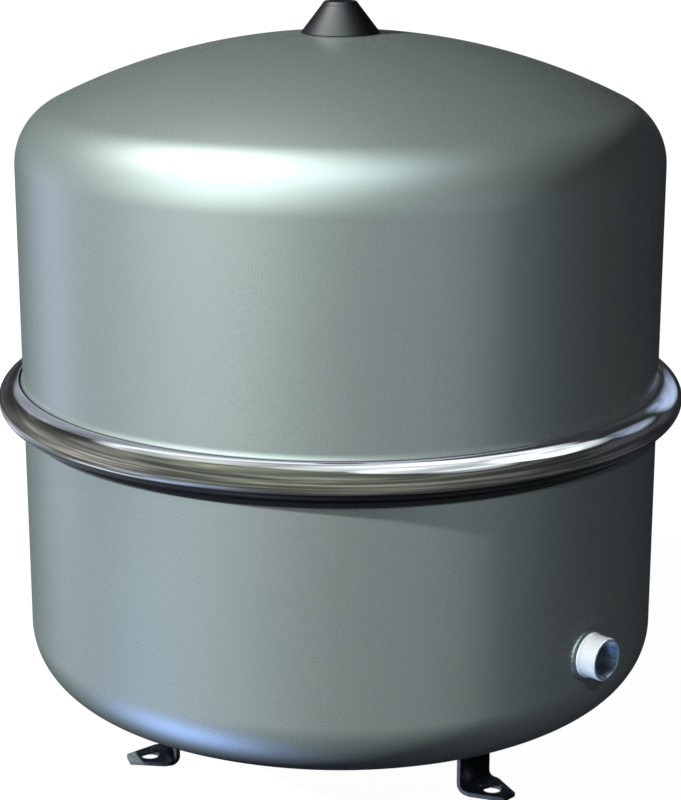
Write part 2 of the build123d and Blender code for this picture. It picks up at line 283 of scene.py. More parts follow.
def weldTree():
    # a rippled bead along a closed path
    graph, given = newTree("weldBead", ["Bead Radius", "Ripple Depth"], ["Ripple Count", "Samples", "Seed"])
    line = graph.add("GeometryNodeMeshToCurve", None, given["Geometry"])
    even = graph.add("GeometryNodeResampleCurve", None, line, count=given["Samples"])
    along = graph.add("GeometryNodeSplineParameter", output="Factor")
    store = {"data_type": "FLOAT", "domain": "POINT"}
    marked = graph.add("GeometryNodeStoreNamedAttribute", store, even, name="along", value=along)
    section = graph.circle(beadShape["sides"], given["Bead Radius"])
    skin = graph.add("GeometryNodeCurveToMesh", None, curve=marked, profileCurve=section)
    place = graph.add("GeometryNodeInputNamedAttribute", {"data_type": "FLOAT"}, "along")
    jitter = graph.add(
        "ShaderNodeTexNoise", {"noise_dimensions": "4D"},
        w=given["Seed"] + 0.5, scale=beadShape["jitterScale"], detail=1.0,
    )
    phase = place * given["Ripple Count"] + jitter * beadShape["phaseJitter"]
    ripple = graph.math("ABSOLUTE", graph.math("SINE", phase * math.pi))
    uneven = (jitter - 0.5) * beadShape["heightJitter"]
    lift = given["Bead Radius"] * given["Ripple Depth"] * (ripple - 1 + uneven)
    offset = graph.vector("SCALE", graph.add("GeometryNodeInputNormal"), scale=lift)
    bumped = graph.add("GeometryNodeSetPosition", None, skin, offset=offset)
    return endTree(graph, given, bumped)


def copiesTree():
    # copies a piece evenly round the Z axis
    graph, given = newTree("copiesRoundAxis", (), ["Count"])
    points = graph.add("GeometryNodePoints", None, given["Count"])
    index = graph.add("GeometryNodeInputIndex")
    turn = graph.join(0.0, 0.0, index * math.tau / given["Count"])
    copies = graph.add(
        "GeometryNodeInstanceOnPoints", None, points, instance=given["Geometry"], rotation=turn,
    )
    return endTree(graph, given, copies)


gripShape = dict(sharpness=1.6, fade=0.0006, sideShare=0.8)


def gripTree():
    # presses shallow upright grooves into a turned cap's side
    graph, given = newTree("capGrips", ["Depth", "Side Radius", "Top"], ["Count"])
    x, y, z = graph.position()
    radius = graph.reach(x, y)
    wave = graph.math("COSINE", graph.angle(x, y) * given["Count"])
    groove = graph.math("MAXIMUM", 0.0, wave * gripShape["sharpness"] - (gripShape["sharpness"] - 1))
    below = graph.math("MAXIMUM", 0.0, (given["Top"] - z) / gripShape["fade"])
    depth = given["Depth"] * groove * graph.math("MINIMUM", 1.0, below)
    return pressIn(graph, given, radius, depth, given["Side Radius"] * gripShape["sideShare"])


springShape = dict(stepsPerTurn=48, sides=14)


def springTree():
    # a round wire wound in a helix, with closed ends
    sizes = ["Turns", "Coil Radius", "Wire Radius", "Height", "Start Height"]
    graph, given = newTree("wireSpring", sizes)
    helix = graph.add(
        "GeometryNodeCurveSpiral", None, resolution=springShape["stepsPerTurn"], rotations=given["Turns"],
        startRadius=given["Coil Radius"], endRadius=given["Coil Radius"], height=given["Height"],
    )
    wire = graph.circle(springShape["sides"], given["Wire Radius"])
    wound = graph.add("GeometryNodeCurveToMesh", None, curve=helix, profileCurve=wire, fillCaps=True)
    offset = graph.join(0.0, 0.0, given["Start Height"])
    lifted = graph.add("GeometryNodeSetPosition", None, wound, offset=offset)
    return endTree(graph, given, lifted)


turning = turnTree()
threading = threadTree()
welding = weldTree()
copying = copiesTree()
gripping = gripTree()
winding = springTree()
print("geometry trees ready")


def evenSteps(start, end, count):
    return [start + (end - start) * step / count for step in range(count + 1)]


def arcPoints(centre, radius, start, end, count):
    # angles in degrees from the radius axis towards height; count is the number of steps
    angles = [math.radians(angle) for angle in evenSteps(start, end, count)]
    return [(centre[0] + radius * math.cos(angle), centre[1] + radius * math.sin(angle)) for angle in angles]


def circlePoints(radius, count, start=0.0):
    # start is the first point's place, in steps
    angles = [math.tau * (step + start) / count for step in range(count)]
    return [(radius * math.cos(angle), radius * math.sin(angle)) for angle in angles]


def loopEdges(points):
    return [(index, (index + 1) % len(points)) for index in range(len(points))]


def rounded(points, radius, steps=3):
    # a closed outline with each corner rounded, as far as its sides allow
    result = []
    for index, corner in enumerate(points):
        here = Vector(corner)
        before = Vector(points[index - 1]) - here
        after = Vector(points[(index + 1) % len(points)]) - here
        if here.x < axisRadius:
            result.append(tuple(here))
            continue
        half = before.angle(after) / 2
        cut = min(radius / math.tan(half), before.length * cornerShare, after.length * cornerShare)
        start = here + before.normalized() * cut
        end = here + after.normalized() * cut
        for share in evenSteps(0, 1, steps):
            result.append(tuple(start * (1 - share) ** 2 + here * 2 * share * (1 - share) + end * share**2))
    return result


def turned(name, slot, profile, segments, closed=True):
    # open profiles start and end on the axis
    edges = loopEdges(profile)
    if not closed:
        edges.pop()
    piece = linked(name, newMesh(name, [(radius, 0, height) for radius, height in profile], edges))
    widest = max(radius for radius, height in profile)
    runTree(piece, turning, slot, segments=segments, pathRadius=widest)
    return tidied(piece)


def weldBead(name, points, look, copies=0):
    piece = linked(name, newMesh(name, points, loopEdges(points)))
    runTree(piece, welding, "tank_paint", **look)
    if copies:
        runTree(piece, copying, "tank_paint", count=copies)
    return tidied(piece, beadShape["sharpAngle"])


def newMaterial(name):
    graph = emptyGraph(bpy.data.materials.new(name))
    return graph, graph.add("ShaderNodeTexCoord", output="Object")


def endMaterial(graph, **sockets):
    shader = graph.add("ShaderNodeBsdfPrincipled", None, **sockets)
    graph.add("ShaderNodeOutputMaterial", None, shader)
    return graph.owner


def noise(graph, place, scale, detail=2.0):
    return graph.add("ShaderNodeTexNoise", None, place, scale=scale, detail=detail, output="Fac")


def blended(graph, factor, first, second):
    return graph.add("ShaderNodeMix", {"data_type": "RGBA"}, factor, first, second)


def bump(graph, height, distance):
    return graph.add("ShaderNodeBump", None, strength=1.0, distance=distance, height=height)


def turnedPlace(graph, place, around):
    # angle, distance from the axis and height, for marks that run round a turned piece
    x, y, z = graph.split(place)
    return graph.join(graph.angle(x, y) * around, graph.reach(x, y), z)


tank = dict(
    shellRadius=0.203, shellWall=0.0015, segments=360,
    upperStraight=0.148, lowerStraight=0.150,
    knuckleRadius=0.0406, knuckleSteps=22, crownRadius=0.406, crownSteps=28,
    flareRadius=0.007, flareStart=0.01551, flareSteps=12,
    flangeSlope=32.5, flangeReach=0.0105,
    bossHole=0.0101,
    portHole=0.0140, portRise=0.020, drillLength=0.3, drillSegments=96,
)
kneeCentre = tank["shellRadius"] - tank["knuckleRadius"]
crownDrop = math.sqrt((tank["crownRadius"] - tank["knuckleRadius"]) ** 2 - kneeCentre**2)
kneeAngle = math.degrees(math.atan2(crownDrop, kneeCentre))
domeTop = seamHeight + tank["upperStraight"] + tank["crownRadius"] - crownDrop
portHeight = seamHeight - tank["lowerStraight"] + tank["portRise"]


paintFinish = dict(
    lightGrey=(0.475, 0.510, 0.500, 1), darkGrey=(0.435, 0.470, 0.462, 1),
    roughness=0.27, metallic=0.80,
    cloudScale=9, cloudRoughness=0.04,
    peelScale=700, peelHeight=0.000003,
    fineScale=2800, fineShare=0.25, fineRoughness=0.05,
    # this line and the next paint shade where the wall meets the clamp ring, below it and in the gap above
    cornerGrey=(0.100, 0.105, 0.100, 1), cornerDepth=0.0165, cornerFade=0.0009, cornerDulling=0.60,
    gapTop=0.0120, gapFade=0.0008,
)


def satinTankPaint():
    look = paintFinish
    graph, place = newMaterial("satinTankPaint")
    cloud = noise(graph, place, look["cloudScale"], 3.0)
    peel = noise(graph, place, look["peelScale"])
    fine = noise(graph, place, look["fineScale"])
    clean = blended(graph, cloud, look["darkGrey"], look["lightGrey"])
    # painted shade: dark and dull where the wall meets the clamp ring, in the corner below it and the gap
    # above, where the ring shades the wall
    x, y, z = graph.split(place)
    above = (z - seamHeight + look["cornerDepth"]) / look["cornerFade"]
    below = (seamHeight + look["gapTop"] - z) / look["gapFade"]
    corner = graph.ramp(graph.math("MINIMUM", above, below))
    colour = blended(graph, corner, clean, look["cornerGrey"])
    uneven = look["cloudRoughness"] * (cloud - 0.5) + look["fineRoughness"] * (fine - 0.5)
    roughness = look["roughness"] + uneven + look["cornerDulling"] * corner
    normal = bump(graph, peel + fine * look["fineShare"], look["peelHeight"])
    return endMaterial(graph, baseColor=colour, roughness=roughness, metallic=look["metallic"], normal=normal)


chromeFinish = dict(
    # the last colour is painted shade for the ring's under side
    bright=(0.80, 0.81, 0.83, 1), dull=(0.66, 0.67, 0.69, 1), shaded=(0.07, 0.075, 0.085, 1),
    roughness=0.045,
    rollAround=0.007, rollSlant=0.004, rollScale=300, rollHeight=0.000016,
    lineScale=2400, lineShare=0.008, lineDulling=0.15,
    smearScale=30, smearDulling=0.5, smearRoughness=0.05,
    # where the painted shade starts on the under side, how fast it fades in, and how much it dulls
    shadedBelow=-0.0038, shadedFade=0.0006, shadedRoughness=0.25,
)


def brightRingChrome():
    # long faint marks from rolling run round the ring, and its under side is darkened and dulled with painted
    # shade
    look = chromeFinish
    graph, place = newMaterial("brightRingChrome")
    x, y, z = graph.split(place)
    angle = graph.angle(x, y)
    slanted = z + angle * look["rollSlant"]
    around = graph.join(angle * look["rollAround"], graph.reach(x, y), slanted)
    rolls = noise(graph, around, look["rollScale"])
    lines = noise(graph, around, look["lineScale"])
    smears = noise(graph, place, look["smearScale"], 3.0)
    dulling = smears * look["smearDulling"] + lines * look["lineDulling"]
    polished = blended(graph, dulling, look["bright"], look["dull"])
    # painted shade over the under side, in place of the dark reflection of the shaded shell below
    edge = seamHeight + look["shadedBelow"]
    under = graph.ramp((edge - z) / look["shadedFade"])
    colour = blended(graph, under, polished, look["shaded"])
    smeared = look["smearRoughness"] * lines * smears
    roughness = look["roughness"] + smeared + look["shadedRoughness"] * under
    normal = bump(graph, rolls + lines * look["lineShare"], look["rollHeight"])
    return endMaterial(graph, baseColor=colour, roughness=roughness, metallic=1.0, normal=normal)


zincFinish = dict(
    light=(0.84, 0.87, 0.90, 1), dark=(0.74, 0.77, 0.81, 1),
    roughness=0.24, metallic=0.55, cloudScale=120,
    spangleScale=420, spangleHeight=0.0000008, spangleRoughness=0.06,
    # this line paints shade inside the port's bore
    boreShade=(0.24, 0.29, 0.40, 1), boreRadius=0.0111, boreFade=0.0002,
)


def brightZinc():
    look = zincFinish
    graph, place = newMaterial("brightZinc")
    spangle = noise(graph, place, look["spangleScale"])
    cloud = noise(graph, place, look["cloudScale"])
    clean = blended(graph, cloud, look["dark"], look["light"])
    # painted shade in the port's bore, dark and tinted blue
    x, y, z = graph.split(place)
    bore = graph.ramp((look["boreRadius"] - graph.reach(z - portHeight, y)) / look["boreFade"])
    colour = blended(graph, bore, clean, look["boreShade"])
    roughness = look["roughness"] + look["spangleRoughness"] * (spangle - 0.5)
    normal = bump(graph, spangle, look["spangleHeight"])
    return endMaterial(graph, baseColor=colour, roughness=roughness, metallic=look["metallic"], normal=normal)


metalFinishes = {
    "turnedBrass": dict(
        dark=(0.66, 0.47, 0.20, 1), light=(0.80, 0.61, 0.30, 1), roughness=0.24, cloudScale=300,
        markAround=0.0015, markScale=9000, markHeight=0.000004, markRoughness=0.14,
    ),
    "drawnSteel": dict(
        dark=(0.50, 0.50, 0.51, 1), light=(0.68, 0.68, 0.70, 1), roughness=0.22,
        markAround=0.0008, markScale=12000, markHeight=0.000002, markRoughness=0.15,
    ),
}


def turnedMetal(name):
    # marks run round it; steel takes its colour from them, brass from a cloud
    look = metalFinishes[name]
    graph, place = newMaterial(name)
    marks = noise(graph, turnedPlace(graph, place, look["markAround"]), look["markScale"], 3.0)
    shade = noise(graph, place, look["cloudScale"]) if "cloudScale" in look else marks
    colour = blended(graph, shade, look["dark"], look["light"])
    roughness = look["roughness"] + look["markRoughness"] * marks
    normal = bump(graph, marks, look["markHeight"])
    return endMaterial(graph, baseColor=colour, roughness=roughness, metallic=1.0, normal=normal)


mouldedFinishes = {
    "diaphragmRubber": dict(
        dark=(0.012, 0.012, 0.013, 1), light=(0.035, 0.035, 0.036, 1), roughness=0.62, specular=0.5,
        detail=3.0, grainScale=1800, grainHeight=0.00001, cloudScale=1800 / 14, cloudRoughness=0.12,
    ),
    "sealRubber": dict(
        dark=(0.012, 0.012, 0.014, 1), light=(0.028, 0.028, 0.030, 1), roughness=0.48, specular=0.5,
        detail=3.0, grainScale=6000, grainHeight=0.00001, cloudScale=6000 / 14, cloudRoughness=0.12,
    ),
    "dustCapPlastic": dict(
        dark=(0.010, 0.010, 0.011, 1), light=(0.022, 0.022, 0.024, 1), roughness=0.42, specular=0.5,
        detail=2.0, grainScale=5000, grainHeight=0.000006, cloudScale=60, cloudRoughness=0.06,
    ),
    "coverPlastic": dict(
        dark=(0.006, 0.006, 0.007, 1), light=(0.011, 0.011, 0.012, 1), roughness=0.22, specular=0.85,
        detail=2.0, grainScale=3000, grainHeight=0.000003, cloudScale=60, cloudRoughness=0.06,
    ),
}


def moulded(name):
    # fine grain under a faint cloud, which is a pale bloom on rubber
    look = mouldedFinishes[name]
    graph, place = newMaterial(name)
    grain = noise(graph, place, look["grainScale"], look["detail"])
    cloud = noise(graph, place, look["cloudScale"], look["detail"])
    colour = blended(graph, cloud, look["dark"], look["light"])
    roughness = look["roughness"] + look["cloudRoughness"] * (cloud - 0.5)
    normal = bump(graph, grain, look["grainHeight"])
    specular = look["specular"]
    return endMaterial(graph, baseColor=colour, roughness=roughness, specularIORLevel=specular, normal=normal)


finishes = {  # by the record's slot names
    "tank_paint": satinTankPaint(),
    "ring_chrome": brightRingChrome(),
    "diaphragm_rubber": moulded("diaphragmRubber"),
    "zinc_plate": brightZinc(),
    "valve_brass": turnedMetal("turnedBrass"),
    "core_steel": turnedMetal("drawnSteel"),
    "seal_rubber": moulded("sealRubber"),
    "cap_plastic": moulded("dustCapPlastic"),
    "cover_plastic": moulded("coverPlastic"),
}
print("materials ready")


def crownHeight(straight, radius):
    # a dished end's height beyond the seam at a radius, within its crown
    return straight - crownDrop + math.sqrt(tank["crownRadius"] ** 2 - radius**2)


def dishPoints(straight, inset, hole):
    # from the axis, or a hole's edge, out over the crown and down the knuckle
    crown = tank["crownRadius"] - inset
    knuckle = tank["knuckleRadius"] - inset
    start = math.degrees(math.acos(hole / crown))
    points = arcPoints((0, straight - crownDrop), crown, start, kneeAngle, tank["crownSteps"])
    return points + arcPoints((kneeCentre, straight), knuckle, kneeAngle, 0, tank["knuckleSteps"])[1:]


def flarePoints(inset):
    # the mouth's bend, and the flange up to its edge
    centre = (tank["shellRadius"] + tank["flareRadius"], tank["flareStart"])
    bendEnd = 270 - tank["flangeSlope"]
    points = arcPoints(centre, tank["flareRadius"] + inset, 180, bendEnd, tank["flareSteps"])
    slope = math.radians(tank["flangeSlope"])
    root = arcPoints(centre, tank["flareRadius"], 180, bendEnd, 1)[1]
    reach = tank["shellRadius"] + tank["flangeReach"] - root[0]
    edge = (
        root[0] + reach - inset * math.sin(slope),
        root[1] - reach * math.tan(slope) - inset * math.cos(slope),
    )
    return points + [edge]


def shellProfile(straight, hole):
    outside = dishPoints(straight, 0, hole) + flarePoints(0)
    inside = dishPoints(straight, tank["shellWall"], hole) + flarePoints(tank["shellWall"])
    return outside + inside[::-1]


def makeUpperShell():
    points = shellProfile(tank["upperStraight"], tank["bossHole"])
    profile = [(radius, seamHeight + rise) for radius, rise in points]
    piece = turned("upperShell", "tank_paint", profile, tank["segments"])
    placed(piece, "tank_paint", "tank", "upper_shell")


def makeLowerShell():
    points = shellProfile(tank["lowerStraight"], 0)
    profile = [(radius, seamHeight - drop) for radius, drop in points]
    piece = turned("lowerShell", "tank_paint", profile, tank["segments"], closed=False)
    hole = tank["portHole"]
    end = tank["drillLength"]
    outline = rounded([(0, 0), (hole, 0), (hole, end), (0, end)], 0)
    drill = turned("portDrill", "tank_paint", outline, tank["drillSegments"], closed=False)
    drill.data.transform(alongPort)
    cut = piece.modifiers.new("portHole", "BOOLEAN")
    cut.object = drill
    cut.operation = "DIFFERENCE"
    cut.solver = "EXACT"
    baked(piece)
    bpy.data.objects.remove(drill)
    tidied(piece)
    placed(piece, "tank_paint", "tank", "lower_shell")


alongPort = Matrix.Translation((0, 0, portHeight)) @ Matrix.Rotation(math.radians(90), 4, "Y")
makeUpperShell()
makeLowerShell()
print("shells ready")


clampRing = dict(
    wall=0.002, wallSteps=56, segments=400,
    lipOffset=0.0024, lipBulge=0.0006, lipSteps=8,
)


def makeClampRing():
    # a C-shaped section: outside wall, full-round lip, inside wall, lip
    lip = clampRing["lipOffset"] + clampRing["lipBulge"]
    centre = tank["shellRadius"]
    reach = ringHigh.x - centre
    half = (ringHigh.z - ringLow.z) / 2
    walls = []
    for inset in (0, clampRing["wall"]):
        wide = reach - inset
        tall = half - inset
        end = math.acos(lip / wide)
        turns = [end * share for share in evenSteps(-1, 1, clampRing["wallSteps"])]
        wall = [(centre + wide * math.cos(turn), seamHeight + tall * math.sin(turn)) for turn in turns]
        walls.append([Vector(point) for point in wall])
    outside, inside = walls[0], walls[1][::-1]
    profile = outside + lipPoints(outside[-1], inside[0]) + inside + lipPoints(inside[-1], outside[0])
    piece = turned("clampRing", "ring_chrome", profile, clampRing["segments"])
    placed(piece, "ring_chrome", "tank", "clamp_ring")


def lipPoints(start, end):
    # a half round from one wall to the other, bulging towards the shell
    middle = (start + end) / 2
    spread = (start - end) / 2
    bulge = Vector((clampRing["lipBulge"], 0))
    turns = evenSteps(0, math.pi, clampRing["lipSteps"])[1:-1]
    return [middle + spread * math.cos(turn) - bulge * math.sin(turn) for turn in turns]


makeClampRing()
print("clamp ring ready")


nipple = dict(
    crest=0.01322, bore=0.0108, start=0.200, end=0.2172, segments=160, sharpAngle=40,
    landRadius=0.0139, landEnd=0.2066,
    edge=0.0008, edgeDepth=0.00048, mouth=0.0113, mouthDepth=0.0006,
    threadPitch=0.001814, threadDepth=0.00004, threadSteps=88, threadStart=0.0004,
)
nippleWeld = dict(
    beadRadius=0.0019, rippleCount=34, rippleDepth=0.07, samples=260, seed=3, sink=0.35, steps=96,
)


def makePortNipple():
    crest = nipple["crest"]
    land = nipple["landRadius"]
    threadEnd = nipple["end"] - nipple["edge"]
    landCorner = nipple["landEnd"] - (land - crest)
    profile = [(nipple["bore"], nipple["start"]), (land, nipple["start"]), (land, landCorner)]
    profile += [(crest, height) for height in evenSteps(nipple["landEnd"], threadEnd, nipple["threadSteps"])]
    profile += [(crest - nipple["edgeDepth"], nipple["end"]), (nipple["mouth"], nipple["end"])]
    profile += [(nipple["bore"], nipple["end"] - nipple["mouthDepth"])]
    piece = turned("portNipple", "zinc_plate", profile, nipple["segments"])
    runTree(
        piece, threading, "zinc_plate", pitch=nipple["threadPitch"], depth=nipple["threadDepth"], crest=crest,
        start=nipple["landEnd"] + nipple["threadStart"], end=threadEnd,
    )
    tidied(piece, nipple["sharpAngle"])
    piece.data.transform(alongPort)
    placed(piece, "zinc_plate", "tank", "port_spigot")


def makeNippleWeld():
    # follows the nipple's foot where it meets the round side
    radius = nipple["landRadius"] + nippleWeld["beadRadius"] * nippleWeld["sink"]
    points = []
    for y, z in circlePoints(radius, nippleWeld["steps"]):
        points.append((math.sqrt(tank["shellRadius"] ** 2 - y * y), y, portHeight + z))
    piece = weldBead("nippleWeld", points, nippleWeld)
    placed(piece, "tank_paint", "tank", "spigot_weld")


makePortNipple()
makeNippleWeld()
print("water port ready")


foot = dict(
    count=3, width=0.030, thickness=0.003,
    holeCentre=0.1315, holeRadius=0.006, holeSteps=40,
    legFace=0.1175, legSteps=4, legSink=0.0006,
    bend=0.0035, bendSteps=10,
    shoulder=0.125, tip=0.146, tipWidth=0.0112,
    edge=0.00035, edgeSegments=2, edgeAngle=50, sharpAngle=40,
)
footWeld = dict(
    beadRadius=0.0017, rippleCount=26, rippleDepth=0.14, samples=300, seed=8, sink=0.3,
    corner=0.0015, cornerSteps=5, step=0.001,
)


def makeFeet():
    # the strip's middle surface, laid out flat, then wrapped up the leg and given its thickness
    half = foot["width"] / 2
    middle = foot["thickness"] / 2
    bendRadius = foot["bend"] + middle
    bendStart = foot["legFace"] + foot["bend"]
    legTop = seamHeight - crownHeight(tank["lowerStraight"], foot["legFace"] - middle) + foot["legSink"]
    work = bmesh.new()
    outline = [
        (bendStart, -half), (foot["shoulder"], -half), (foot["tip"], -foot["tipWidth"] / 2),
        (foot["tip"], foot["tipWidth"] / 2), (foot["shoulder"], half), (bendStart, half),
    ]
    rim = [work.verts.new((x, y, middle)) for x, y in outline]
    circle = circlePoints(foot["holeRadius"], foot["holeSteps"])
    hole = [work.verts.new((foot["holeCentre"] + x, y, middle)) for x, y in circle]
    edges = []
    for loop in (rim, hole):
        edges += [work.edges.new((loop[first], loop[last])) for first, last in loopEdges(loop)]
    bmesh.ops.triangle_fill(work, edges=edges, use_beauty=True)
    # the bend and the leg
    near = rim[0]
    far = rim[-1]
    rows = arcPoints((bendStart, middle + bendRadius), bendRadius, -90, -180, foot["bendSteps"])[1:]
    heights = evenSteps(middle + bendRadius, legTop, foot["legSteps"])[1:]
    rows += [(foot["legFace"] - middle, height) for height in heights]
    for x, z in rows:
        left = work.verts.new((x, -half, z))
        right = work.verts.new((x, half, z))
        work.faces.new((near, far, right, left))
        near = left
        far = right
    bmesh.ops.recalc_face_normals(work, faces=work.faces)
    if work.faces[0].normal.z < 0:
        bmesh.ops.reverse_faces(work, faces=work.faces)
    piece = linked("feet", meshFrom("feet", work))
    wall = piece.modifiers.new("thickness", "SOLIDIFY")
    wall.thickness = foot["thickness"]
    wall.offset = 0
    soft = piece.modifiers.new("edges", "BEVEL")
    soft.width = foot["edge"]
    soft.segments = foot["edgeSegments"]
    soft.limit_method = "ANGLE"
    soft.angle_limit = math.radians(foot["edgeAngle"])
    baked(piece)
    runTree(piece, copying, "tank_paint", count=foot["count"])
    tidied(piece, foot["sharpAngle"], turnOut=False)
    placed(piece, "tank_paint", "tank", "foot_1", "foot_2", "foot_3")


def makeFootWelds():
    # round the leg's top, on the lower end's surface
    centre = foot["legFace"] - foot["thickness"] / 2
    outwards = footWeld["beadRadius"] * footWeld["sink"]
    thick = foot["thickness"] / 2 + outwards
    wide = foot["width"] / 2 + outwards
    corners = [(thick, -wide), (thick, wide), (-thick, wide), (-thick, -wide)]
    loop = [Vector(corner) for corner in rounded(corners, footWeld["corner"], footWeld["cornerSteps"])]
    points = []
    for first, last in loopEdges(loop):
        steps = max(1, round((loop[last] - loop[first]).length / footWeld["step"]))
        for step in range(steps):
            x, y = loop[first].lerp(loop[last], step / steps)
            radius = math.hypot(centre + x, y)
            points.append((centre + x, y, seamHeight - crownHeight(tank["lowerStraight"], radius)))
    piece = weldBead("footWelds", points, footWeld, foot["count"])
    placed(piece, "tank_paint", "tank", "foot_weld_1", "foot_weld_2", "foot_weld_3")


makeFeet()
makeFootWelds()
print("feet ready")


valve = dict(
    bossRadius=0.010, bossHeight=0.005, bossInset=0.0015, bossBore=0.005, bossEdge=0.0003,
    grooveRadius=0.00634, grooveDepth=0.0014,
    screwRadius=0.0049, screwLength=0.008,
    flangeRadius=0.007, flangeHeight=0.001, flangeEdge=0.00015,
    hexFlats=0.011, hexHeight=0.002, hexInside=0.0034, hexSink=0.0002, hexEdge=0.0003,
    hexFoot=0.97, hexCrown=0.95,
    threadRadius=0.00385, threadLength=0.0065, threadPitch=0.000794, threadDepth=0.0003,
    threadSteps=90, threadStart=0.0003, threadPast=0.0002,
    stemBore=0.00205, stemEdge=0.0004, coreBore=0.0026, coreDepth=0.0048, seatDepth=0.0058,
    segments=128, stemSharpAngle=34,
)
bossWeld = dict(
    beadRadius=0.0015, rippleCount=24, rippleDepth=0.13, samples=200, seed=5, sink=0.4, steps=72,
)
bossTop = domeTop + valve["bossHeight"]
hexBottom = bossTop + valve["flangeHeight"]
hexTop = hexBottom + valve["hexHeight"]
stemTop = hexTop + valve["threadLength"]


def makeValveBoss():
    floor = domeTop - tank["shellWall"] - valve["bossInset"]
    corners = [
        (valve["bossBore"], floor), (valve["bossRadius"], floor), (valve["bossRadius"], bossTop),
        (valve["grooveRadius"], bossTop), (valve["grooveRadius"], bossTop - valve["grooveDepth"]),
        (valve["bossBore"], bossTop - valve["grooveDepth"]),
    ]
    piece = turned("valveBoss", "zinc_plate", rounded(corners, valve["bossEdge"]), valve["segments"])
    placed(piece, "zinc_plate", "tank", "valve_boss")


def makeBossWeld():
    radius = valve["bossRadius"] + bossWeld["beadRadius"] * bossWeld["sink"]
    height = seamHeight + crownHeight(tank["upperStraight"], radius)
    points = [(x, y, height) for x, y in circlePoints(radius, bossWeld["steps"])]
    placed(weldBead("bossWeld", points, bossWeld), "tank_paint", "tank", "boss_weld")


def addHexagon(piece):
    # for the spanner, a ring with turned-off corners whose inside lies in the stem's wall
    corner = valve["hexFlats"] / math.sqrt(3)
    inside = valve["hexInside"]
    low = hexBottom - valve["hexSink"]
    section = [
        (inside, low), (corner * valve["hexFoot"], low), (corner, hexBottom + valve["hexEdge"]),
        (corner, hexTop - valve["hexEdge"]), (corner * valve["hexCrown"], hexTop), (inside, hexTop),
    ]
    work = bmesh.new()
    work.from_mesh(piece.data)
    rings = []
    for radius, height in section:
        rings.append([work.verts.new((x, y, height)) for x, y in circlePoints(radius, 6, 0.5)])
    for lower, upper in zip(rings, rings[1:] + rings[:1]):
        for first, last in loopEdges(lower):
            work.faces.new((lower[first], lower[last], upper[last], upper[first]))
    work.to_mesh(piece.data)
    work.free()


def makeValveStem():
    crest = valve["threadRadius"]
    screwEnd = bossTop - valve["screwLength"]
    threadEnd = stemTop - valve["stemEdge"]
    corners = [
        (valve["stemBore"], screwEnd), (valve["screwRadius"], screwEnd), (valve["screwRadius"], bossTop),
        (valve["flangeRadius"], bossTop), (valve["flangeRadius"], hexBottom), (crest, hexBottom),
    ]
    outline = rounded(corners, valve["flangeEdge"])
    outline += [(crest, height) for height in evenSteps(hexTop, threadEnd, valve["threadSteps"])]
    outline += [
        (crest - valve["stemEdge"], stemTop), (valve["coreBore"], stemTop),
        (valve["coreBore"], stemTop - valve["coreDepth"]), (valve["stemBore"], stemTop - valve["seatDepth"]),
    ]
    piece = turned("valveStem", "valve_brass", outline, valve["segments"])
    runTree(
        piece, threading, "valve_brass", pitch=valve["threadPitch"], depth=valve["threadDepth"], crest=crest,
        start=hexTop + valve["threadStart"], end=threadEnd + valve["threadPast"],
    )
    addHexagon(piece)
    tidied(piece, valve["stemSharpAngle"])
    placed(piece, "valve_brass", "tank", "valve_stem")


makeValveBoss()
makeBossWeld()
makeValveStem()
print("gas valve ready")


cover = dict(
    baseRadius=0.0244, topRadius=0.00995, height=0.0189, wall=0.0018,
    edge=0.00045, edgeSteps=4,
    sleeveInner=0.0102, sleeveWall=0.0015, sleeveLift=0.0024,
    segments=160,
)


def makeValveCover():
    low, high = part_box("valve_cover")
    slope = (cover["baseRadius"] - cover["topRadius"]) / cover["height"]
    sideWall = cover["wall"] * math.sqrt(1 + slope**2)
    roof = high.z - cover["wall"]
    roofRadius = cover["topRadius"] + cover["wall"] * slope - sideWall
    sleeveFoot = domeTop + cover["sleeveLift"]
    sleeveInner = cover["sleeveInner"]
    sleeveOuter = sleeveInner + cover["sleeveWall"]
    corners = [
        (0, roof), (sleeveInner, roof), (sleeveInner, sleeveFoot), (sleeveOuter, sleeveFoot),
        (sleeveOuter, roof), (roofRadius, roof), (high.x - sideWall, low.z), (high.x, low.z),
        (cover["topRadius"], high.z), (0, high.z),
    ]
    outline = rounded(corners, cover["edge"], cover["edgeSteps"])
    piece = turned("valveCover", "cover_plastic", outline, cover["segments"], closed=False)
    placed(piece, "cover_plastic", "cover", "valve_cover")


makeValveCover()
print("valve cover ready")


dustCap = dict(
    radius=0.0055, bore=0.00395, roof=0.0012, segments=216, sharpAngle=40,
    edge=0.0006, edgeSteps=5, footEdge=0.0001,
    sideStart=0.0003, sideSteps=12,
    gripCount=18, gripDepth=0.0004,
)


def makeDustCap():
    low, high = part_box("dust_cap")
    radius = dustCap["radius"]
    edge = dustCap["edge"]
    roof = high.z - dustCap["roof"]
    shoulder = high.z - edge
    corners = [(0, roof), (dustCap["bore"], roof), (dustCap["bore"], low.z), (radius, low.z)]
    outline = rounded(corners, dustCap["footEdge"])
    side = evenSteps(low.z + dustCap["sideStart"], shoulder, dustCap["sideSteps"])
    outline += [(radius, height) for height in side]
    outline += arcPoints((radius - edge, shoulder), edge, 0, 90, dustCap["edgeSteps"])[1:]
    outline += [(0, high.z)]
    piece = turned("dustCap", "cap_plastic", outline, dustCap["segments"], closed=False)
    runTree(
        piece, gripping, "cap_plastic", count=dustCap["gripCount"], depth=dustCap["gripDepth"],
        sideRadius=radius, top=shoulder,
    )
    tidied(piece, dustCap["sharpAngle"])
    placed(piece, "cap_plastic", "stem_cap", "dust_cap")


makeDustCap()
print("dust cap ready")


coreSpring = dict(
    turns=3.5, coilRadius=0.0011, wireRadius=0.0002,
    foot=0.48197, pinStroke=0.001, sharpAngle=50,
)


